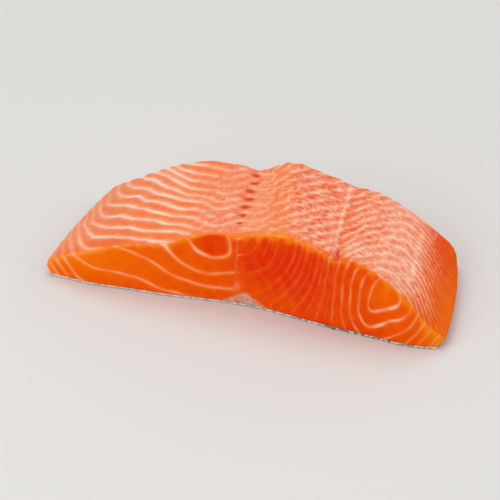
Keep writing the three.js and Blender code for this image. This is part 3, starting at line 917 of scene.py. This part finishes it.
def scale_tree():
    """Geometry Nodes: rows of overlapping scales over the underside of a sheet."""
    tree = bpy.data.node_groups.new("scale_rows", "GeometryNodeTree")
    for name, kind in SCALE_SOCKETS:
        tree.interface.new_socket(name, in_out="INPUT", socket_type="NodeSocket" + kind)
    tree.interface.new_socket("Scales", in_out="OUTPUT", socket_type="NodeSocketGeometry")
    given = add(tree, "NodeGroupInput").outputs

    # Every other column is moved half a row along, and each scale strays a little.
    grid = {
        "Size X": given["Length"],
        "Size Y": given["Width"],
        "Vertices X": given["Across"],
        "Vertices Y": given["Along"],
    }
    grid = add(tree, "GeometryNodeMeshGrid", grid)
    number = add(tree, "GeometryNodeInputIndex")
    column = add(tree, "ShaderNodeMath", {0: number, 1: given["Along"]}, operation="DIVIDE")
    column = add(tree, "ShaderNodeMath", {0: column}, operation="FLOOR")
    odd = add(tree, "ShaderNodeMath", {0: column, 1: 2.0}, operation="FLOORED_MODULO")
    pitch = add(tree, "ShaderNodeMath", {0: given["Width"], 1: given["Along"]}, operation="DIVIDE")
    half = add(tree, "ShaderNodeMath", {0: pitch, 1: 0.5}, operation="MULTIPLY")
    stagger = add(tree, "ShaderNodeMath", {0: odd, 1: half}, operation="MULTIPLY")
    stray = {2: -SCALE_STRAY, 3: SCALE_STRAY, "Seed": given["Seed"]}
    stray = add(tree, "FunctionNodeRandomValue", stray, data_type="FLOAT").outputs[1]
    sway = add(tree, "ShaderNodeMath", {0: stray, 1: pitch}, operation="MULTIPLY")
    offset = add(tree, "ShaderNodeCombineXYZ", {0: sway, 1: stagger, 2: given["Height"]})
    points = add(tree, "GeometryNodeSetPosition", {"Geometry": grid, "Offset": offset})

    # A scale is kept where the sheet is over it, a little inside the rim.
    place = add(tree, "GeometryNodeInputPosition")
    outer = add(tree, "ShaderNodeVectorMath", {0: place, 1: given["Margin"]}, operation="MULTIPLY")
    below = add(tree, "ShaderNodeVectorMath", {0: outer, 1: (0, 0, -1)}, operation="ADD")
    ray = {
        "Target Geometry": given["Sheet"],
        "Source Position": below,
        "Ray Direction": (0, 0, 1),
        "Ray Length": 2.0,
    }
    ray = add(tree, "GeometryNodeRaycast", ray)
    miss = add(tree, "FunctionNodeBooleanMath", {0: ray}, operation="NOT")
    kept = add(tree, "GeometryNodeDeleteGeometry", {"Geometry": points, "Selection": miss})

    radius = given["Scale radius"]
    thin = add(tree, "ShaderNodeMath", {0: radius, 1: SCALE_THICKNESS}, operation="MULTIPLY")
    flat = add(tree, "ShaderNodeMath", {0: radius, 1: SCALE_TOP}, operation="MULTIPLY")
    disc = {"Vertices": SCALE_SIDES, "Radius Top": flat, "Radius Bottom": radius, "Depth": thin}
    disc = add(tree, "GeometryNodeMeshCone", disc)
    lean = add(tree, "ShaderNodeMath", {0: given["Tilt"], 1: math.pi}, operation="ADD")
    turn = add(tree, "ShaderNodeMath", {0: stray, 1: SCALE_TURN}, operation="MULTIPLY")
    pose = add(tree, "ShaderNodeCombineXYZ", {0: lean, 2: turn})
    spread = {0: SCALE_SPREAD[0], 1: SCALE_SPREAD[1], "Seed": given["Seed"]}
    spread = add(tree, "FunctionNodeRandomValue", spread, data_type="FLOAT_VECTOR")
    laid = {"Points": kept, "Instance": disc, "Rotation": pose, "Scale": spread}
    laid = add(tree, "GeometryNodeInstanceOnPoints", laid)
    shade = {2: 0.0, 3: 1.0, "Seed": given["Seed"]}
    shade = add(tree, "FunctionNodeRandomValue", shade, data_type="FLOAT").outputs[1]
    shaded = {"Geometry": laid, "Name": "shade", "Value": shade}
    shaded = add(tree, "GeometryNodeStoreNamedAttribute", shaded, domain="INSTANCE")
    real = add(tree, "GeometryNodeRealizeInstances", {"Geometry": shaded})
    finished = {"Geometry": real, "Material": given["Material"]}
    add(tree, "NodeGroupOutput", {0: add(tree, "GeometryNodeSetMaterial", finished)})
    return tree


def build_scales(sizes, sheet, material):
    """Lays scales over the underside of the skin's sheet, as a plain mesh of their own."""
    reach = np.array(SKIN_BOX[1]) - np.array(SKIN_BOX[0])
    radius = SCALE_RADIUS * sizes.scale_pitch
    carrier = sheet.copy()
    bpy.context.scene.collection.objects.link(carrier)
    modifier = carrier.modifiers.new("scales", "NODES")
    modifier.node_group = scale_tree()
    given = {
        "Length": reach[0],
        "Width": reach[1],
        "Across": round(reach[0] / sizes.scale_pitch) + 1,
        "Along": round(reach[1] / (SCALE_ROW * sizes.scale_pitch)) + 1,
        "Scale radius": radius,
        "Margin": (1 + radius / reach[0] * SCALE_MARGIN, 1 + radius / reach[1] * SCALE_MARGIN, 1.0),
        "Height": SCALE_HEIGHT * MM,
        "Tilt": SCALE_TILT,
        "Seed": 5,
        "Material": material,
    }
    for item in modifier.node_group.interface.items_tree:
        if item.name in given:
            modifier[item.identifier] = given[item.name]
    shaped = carrier.evaluated_get(bpy.context.evaluated_depsgraph_get())
    mesh = bpy.data.meshes.new_from_object(shaped)
    bpy.data.objects.remove(carrier)
    mesh.name = "skin_scales"
    return linked("skin_scales", mesh)


# ---- Materials ----


def new_material(name):
    material = bpy.data.materials.new(name)
    material.use_nodes = True
    material.node_tree.nodes.clear()
    return material, material.node_tree


def opaque(rgb):
    return (*rgb, 1.0)


# seam carries painted sheen and glints besides fat, and deep carries painted shade and shadow besides red
# flesh.
FLESH_MARKS = ("seam", "pit", "bloom_and_sheen", "speckle_and_glint", "deep", "painted_glow", "net")
MOTTLE_SIZE, GRAIN_SIZE, NET_SIZE, NET_WANDER = 5, 1.6, 3.2, 3  # millimetres
TOP_GLOSS = {"rough": (0.32, 0.46), "bump": 0.5, "specular": 0.16, "coat": 0.05}  # wet outer surface
CUT_GLOSS = {"rough": (0.42, 0.55), "bump": 0.2, "specular": 0.01, "coat": 0.0}  # clean knife cut


def muscle_material(name, colours, gloss):
    """Raw salmon muscle: saturated and faintly translucent. gloss holds what moisture does to it."""
    material, tree = new_material(name)
    mark = {
        name: add(tree, "ShaderNodeAttribute", attribute_name=name).outputs["Fac"] for name in FLESH_MARKS
    }
    place = add(tree, "ShaderNodeTexCoord").outputs["Object"]
    mottle = {"Vector": place, "Scale": 1 / (MOTTLE_SIZE * MM), "Detail": 5.0, "Roughness": 0.68}
    mottle = add(tree, "ShaderNodeTexNoise", mottle)
    grain = {"Vector": place, "Scale": 1 / (GRAIN_SIZE * MM), "Detail": 3.0}
    grain = add(tree, "ShaderNodeTexNoise", grain)
    wavy = {0: mottle.outputs["Color"], 1: (NET_WANDER * MM,) * 3, 2: place}
    wavy = add(tree, "ShaderNodeVectorMath", wavy, operation="MULTIPLY_ADD")
    cells = {"Vector": wavy, "Scale": 1 / (NET_SIZE * MM)}
    cells = add(tree, "ShaderNodeTexVoronoi", cells, feature="DISTANCE_TO_EDGE")

    base = opaque(colours.orange)
    layers = (  # a mark, its colour, and the noise that breaks it up: its span and what that turns to
        ("deep", colours.red, mottle, (0.3, 0.7, -0.11, 0.11), "ADD"),
        ("painted_glow", colours.amber, None, None, None),
        ("bloom_and_sheen", colours.bloom_and_sheen, grain, (0.3, 0.7, 0.72, 1.15), "MULTIPLY"),
        ("speckle_and_glint", colours.pit, grain, (0.40, 0.30, 0.0, 0.7), "MULTIPLY"),
        # Pale specks: painted glints on the moist top; the red specks above are the flesh's own.
        ("speckle_and_glint", colours.fat, grain, (0.58, 0.74, 0.0, 0.4), "MULTIPLY"),
        ("net", colours.fat, cells, (0.02, 0.16, 1.0, 0.0), "MULTIPLY"),
        ("pit", colours.pit, None, None, None),
    )
    for name, layer, noise, span, operation in layers:
        share = mark[name]
        if span:
            level = add(tree, "ShaderNodeMapRange", {0: noise, **dict(enumerate(span, 1))})
            share = add(tree, "ShaderNodeMath", {0: share, 1: level}, operation=operation)
        base = {0: share, 6: base, 7: opaque(layer)}
        base = add(tree, "ShaderNodeMix", base, data_type="RGBA").outputs[2]
    fat = {0: mark["bloom_and_sheen"], 6: opaque(colours.cut_fat), 7: opaque(colours.fat)}
    fat = add(tree, "ShaderNodeMix", fat, data_type="RGBA").outputs[2]
    base = add(tree, "ShaderNodeMix", {0: mark["seam"], 6: base, 7: fat}, data_type="RGBA").outputs[2]

    wet, dull = gloss["rough"]
    rough = add(tree, "ShaderNodeMapRange", {0: grain, 1: 0.3, 2: 0.7, 3: wet, 4: dull})
    bump = add(tree, "ShaderNodeBump", {"Height": grain, "Strength": gloss["bump"], "Distance": 0.3 * MM})
    muscle = {
        "Base Color": base,
        "Roughness": rough,
        "Normal": bump,
        "IOR": 1.38,
        "Specular IOR Level": gloss["specular"],
        "Subsurface Weight": 0.25,
        "Subsurface Radius": (1.0, 0.35, 0.12),
        "Subsurface Scale": 1.8 * MM,
        "Coat Weight": gloss["coat"],
        "Coat Roughness": 0.18,
    }
    add(tree, "ShaderNodeOutputMaterial", {"Surface": add(tree, "ShaderNodeBsdfPrincipled", muscle)})
    return material


def dark_muscle_material(colours):
    """Red-brown muscle next to the skin: matt, with pale streaks of fat along the cut."""
    material, tree = new_material("raw_dark_muscle")
    fat, flesh = (
        add(tree, "ShaderNodeAttribute", attribute_name=name).outputs["Fac"] for name in ("fat", "flesh")
    )
    place = add(tree, "ShaderNodeTexCoord").outputs["Object"]
    stretched = add(tree, "ShaderNodeMapping", {"Vector": place, "Scale": (1, 1, 2.4)})
    streaks = {"Vector": stretched, "Scale": 1 / (GRAIN_SIZE * MM), "Detail": 3.0}
    streaks = add(tree, "ShaderNodeTexNoise", streaks)
    streak = add(tree, "ShaderNodeMapRange", {0: streaks, 1: 0.42, 2: 0.62, 3: 0.0, 4: 0.8})
    base = opaque(colours.dark_muscle)
    for share, layer in ((streak, colours.dark_streak), (fat, colours.dark_streak), (flesh, colours.orange)):
        base = {0: share, 6: base, 7: opaque(layer)}
        base = add(tree, "ShaderNodeMix", base, data_type="RGBA").outputs[2]
    bump = add(tree, "ShaderNodeBump", {"Height": streaks, "Strength": 0.4, "Distance": 0.2 * MM})
    muscle = {
        "Base Color": base,
        "Roughness": 0.45,
        "Normal": bump,
        "IOR": 1.38,
        "Subsurface Weight": 0.15,
        "Subsurface Radius": (1.0, 0.4, 0.25),
        "Subsurface Scale": 1.2 * MM,
    }
    add(tree, "ShaderNodeOutputMaterial", {"Surface": add(tree, "ShaderNodeBsdfPrincipled", muscle)})
    return material


PATCH_SIZE, TEAR_SIZE, WRINKLE_SIZE = 9, 1.6, 0.8  # millimetres
SIDE_WANDER, SIDE_START, SIDE_END = 30, 5, 62  # where the skin turns from silver to slate, in x


def skin_material(name, colours, by_scale):
    """Moist fish skin: silvery on the belly and slate grey on the back, with a soft pearly gloss.

    The sheet's rim is torn fat and dark skin, and its scales differ in how they glint."""
    material, tree = new_material(name)
    place = add(tree, "ShaderNodeTexCoord").outputs["Object"]
    across = add(tree, "ShaderNodeSeparateXYZ", {0: place}).outputs["X"]
    patchy = {"Vector": place, "Scale": 1 / (PATCH_SIZE * MM), "Detail": 3.0}
    patchy = add(tree, "ShaderNodeTexNoise", patchy)
    wander = {0: patchy, 1: SIDE_WANDER * MM, 2: across}
    wander = add(tree, "ShaderNodeMath", wander, operation="MULTIPLY_ADD")
    back = {0: wander, 1: SIDE_START * MM, 2: SIDE_END * MM, 3: 0.0 if by_scale else 0.5, 4: 1.0}
    back = add(tree, "ShaderNodeMapRange", back)
    base = {0: back, 6: opaque(colours.silver), 7: opaque(colours.slate)}
    base = add(tree, "ShaderNodeMix", base, data_type="RGBA").outputs[2]
    if by_scale:
        layer = colours.pearl
        shade = add(tree, "ShaderNodeAttribute", attribute_name="shade").outputs["Fac"]
        share = add(tree, "ShaderNodeMapRange", {0: shade, 3: 0.0, 4: 0.35})
    else:
        layer = colours.under_skin
        torn = {"Vector": place, "Scale": 1 / (TEAR_SIZE * MM), "Detail": 2.0}
        torn = add(tree, "ShaderNodeTexNoise", torn)
        share = add(tree, "ShaderNodeMapRange", {0: torn, 1: 0.44, 2: 0.56, 3: 0.1, 4: 1.0})
    base = add(tree, "ShaderNodeMix", {0: share, 6: base, 7: opaque(layer)}, data_type="RGBA").outputs[2]
    wrinkle = {"Vector": place, "Scale": 1 / (WRINKLE_SIZE * MM), "Detail": 2.0}
    wrinkle = add(tree, "ShaderNodeTexNoise", wrinkle)
    bump = add(tree, "ShaderNodeBump", {"Height": wrinkle, "Strength": 0.4, "Distance": 0.1 * MM})
    skin = {
        "Base Color": base,
        "Roughness": 0.32,
        "Metallic": 0.35 if by_scale else 0.0,
        "Normal": bump,
        "Coat Weight": 0.3,
        "Coat Roughness": 0.2,
    }
    add(tree, "ShaderNodeOutputMaterial", {"Surface": add(tree, "ShaderNodeBsdfPrincipled", skin)})
    return material


def floor_material(colours):
    """Matt laminate board, plain and pale, with the faintest unevenness."""
    material, tree = new_material("pale_matt_laminate")
    place = add(tree, "ShaderNodeTexCoord").outputs["Object"]
    speck = add(tree, "ShaderNodeTexNoise", {"Vector": place, "Scale": 1 / (40 * MM), "Detail": 2.0})
    rough = add(tree, "ShaderNodeMapRange", {0: speck, 3: 0.6, 4: 0.75})
    board = {"Base Color": opaque(colours.floor), "Roughness": rough}
    add(tree, "ShaderNodeOutputMaterial", {"Surface": add(tree, "ShaderNodeBsdfPrincipled", board)})
    return material


# ---- Operators ----


def settle(piece, node):
    """The piece rides on the body, and the imported part of one name is hidden behind it."""
    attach(piece, "root")
    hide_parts(node)


class FILLET_OT_flesh(bpy.types.Operator):
    """Build the flaky flesh between the two cuts"""

    bl_idname = "fillet.flesh"
    bl_label = "Flesh"

    def execute(self, context):
        colours = context.scene.fillet_colours
        materials = (
            muscle_material("raw_salmon_outer_muscle", colours, TOP_GLOSS),
            muscle_material("raw_salmon_cut_muscle", colours, CUT_GLOSS),
        )
        settle(build_flesh(context.scene.fillet_sizes, materials), "flesh")
        return {"FINISHED"}


class FILLET_OT_dark_muscle(bpy.types.Operator):
    """Build the ridge of dark muscle between the flesh and the skin"""

    bl_idname = "fillet.dark_muscle"
    bl_label = "Dark muscle"

    def execute(self, context):
        material = dark_muscle_material(context.scene.fillet_colours)
        settle(build_dark_muscle(context.scene.fillet_sizes, (material,)), "dark_muscle")
        return {"FINISHED"}


class FILLET_OT_skin(bpy.types.Operator):
    """Build the skin's sheet and lay its scales"""

    bl_idname = "fillet.skin"
    bl_label = "Skin"

    def execute(self, context):
        sizes, colours = context.scene.fillet_sizes, context.scene.fillet_colours
        sheet = build_skin(sizes, (skin_material("fish_skin_edge", colours, False),))
        scales = build_scales(sizes, sheet, skin_material("fish_scales", colours, True))
        settle(sheet, "skin")
        settle(scales, "skin")
        return {"FINISHED"}


CAMERA_PLACE = (330.6, -1024.5, 678.1)  # millimetres, in the frame
CAMERA_AIM = (-4.5, -7.0, 15.0)
CAMERA_ROLL = math.radians(0.94)
LAMP_AIM = Vector((0, 0, 0.02))


def turned_to(aim):
    return aim.to_track_quat("-Z", "Y")


class FILLET_OT_stage(bpy.types.Operator):
    """Set up the floor, the lights and the camera"""

    bl_idname = "fillet.stage"
    bl_label = "Stage"

    def execute(self, context):
        scene = context.scene
        settings = scene.fillet_stage
        bpy.ops.mesh.primitive_plane_add(size=3.0)
        floor = context.object
        floor.name = "floor"
        floor.data.materials.append(floor_material(scene.fillet_colours))

        camera = linked("camera", bpy.data.cameras.new("camera"))
        camera.data.lens = settings.focal_length
        camera.data.clip_start = 0.05
        place = Vector(CAMERA_PLACE) * MM
        aim = turned_to(Vector(CAMERA_AIM) * MM - place).to_matrix().to_4x4()
        camera.matrix_world = Matrix.Translation(place) @ aim @ Matrix.Rotation(CAMERA_ROLL, 4, "Z")
        scene.camera = camera

        lamps = (  # name, power, width and place in metres
            ("top_light", settings.key, 1.0, (-0.20, 0.35, 1.10)),
            ("front_light", settings.fill, 0.9, (-0.35, -0.90, 0.55)),
            ("side_light", settings.side, 0.8, (1.00, 0.10, 0.50)),
            ("rear_light", settings.rear, 0.7, (0.40, 1.00, 0.30)),
        )
        for name, energy, size, where in lamps:
            light = linked(name, bpy.data.lights.new(name, "AREA"))
            light.data.energy = energy
            light.data.size = size
            light.location = where
            light.rotation_euler = turned_to(LAMP_AIM - Vector(where)).to_euler()

        world = bpy.data.worlds.new("room")
        world.use_nodes = True
        background = world.node_tree.nodes["Background"]
        background.inputs["Color"].default_value = (1, 1, 1, 1)
        background.inputs["Strength"].default_value = settings.room
        scene.world = world
        scene.view_settings.view_transform = "Standard"
        return {"FINISHED"}


class FILLET_PT_panel(bpy.types.Panel):
    """The fillet's pieces, in the order that they are made"""

    bl_label = "Salmon fillet"
    bl_idname = "FILLET_PT_panel"
    bl_space_type = "VIEW_3D"
    bl_region_type = "UI"
    bl_category = "Fillet"

    def draw(self, context):
        for operator in OPERATORS:
            self.layout.operator(operator.bl_idname)


OPERATORS = (FILLET_OT_flesh, FILLET_OT_dark_muscle, FILLET_OT_skin, FILLET_OT_stage)
GROUPS = {"fillet_sizes": FilletSizes, "fillet_colours": FilletColours, "fillet_stage": StageSettings}


def register():
    for cls in (*GROUPS.values(), *OPERATORS, FILLET_PT_panel):
        bpy.utils.register_class(cls)
    for name, group in GROUPS.items():
        setattr(bpy.types.Scene, name, PointerProperty(type=group))


def unregister():
    for name in GROUPS:
        delattr(bpy.types.Scene, name)
    for cls in (FILLET_PT_panel, *reversed(OPERATORS), *reversed(GROUPS.values())):
        bpy.utils.unregister_class(cls)


def main():
    register()
    bpy.ops.fillet.flesh()
    bpy.ops.fillet.dark_muscle()
    bpy.ops.fillet.skin()
    bpy.ops.fillet.stage()


if __name__ == "__main__":
    main()
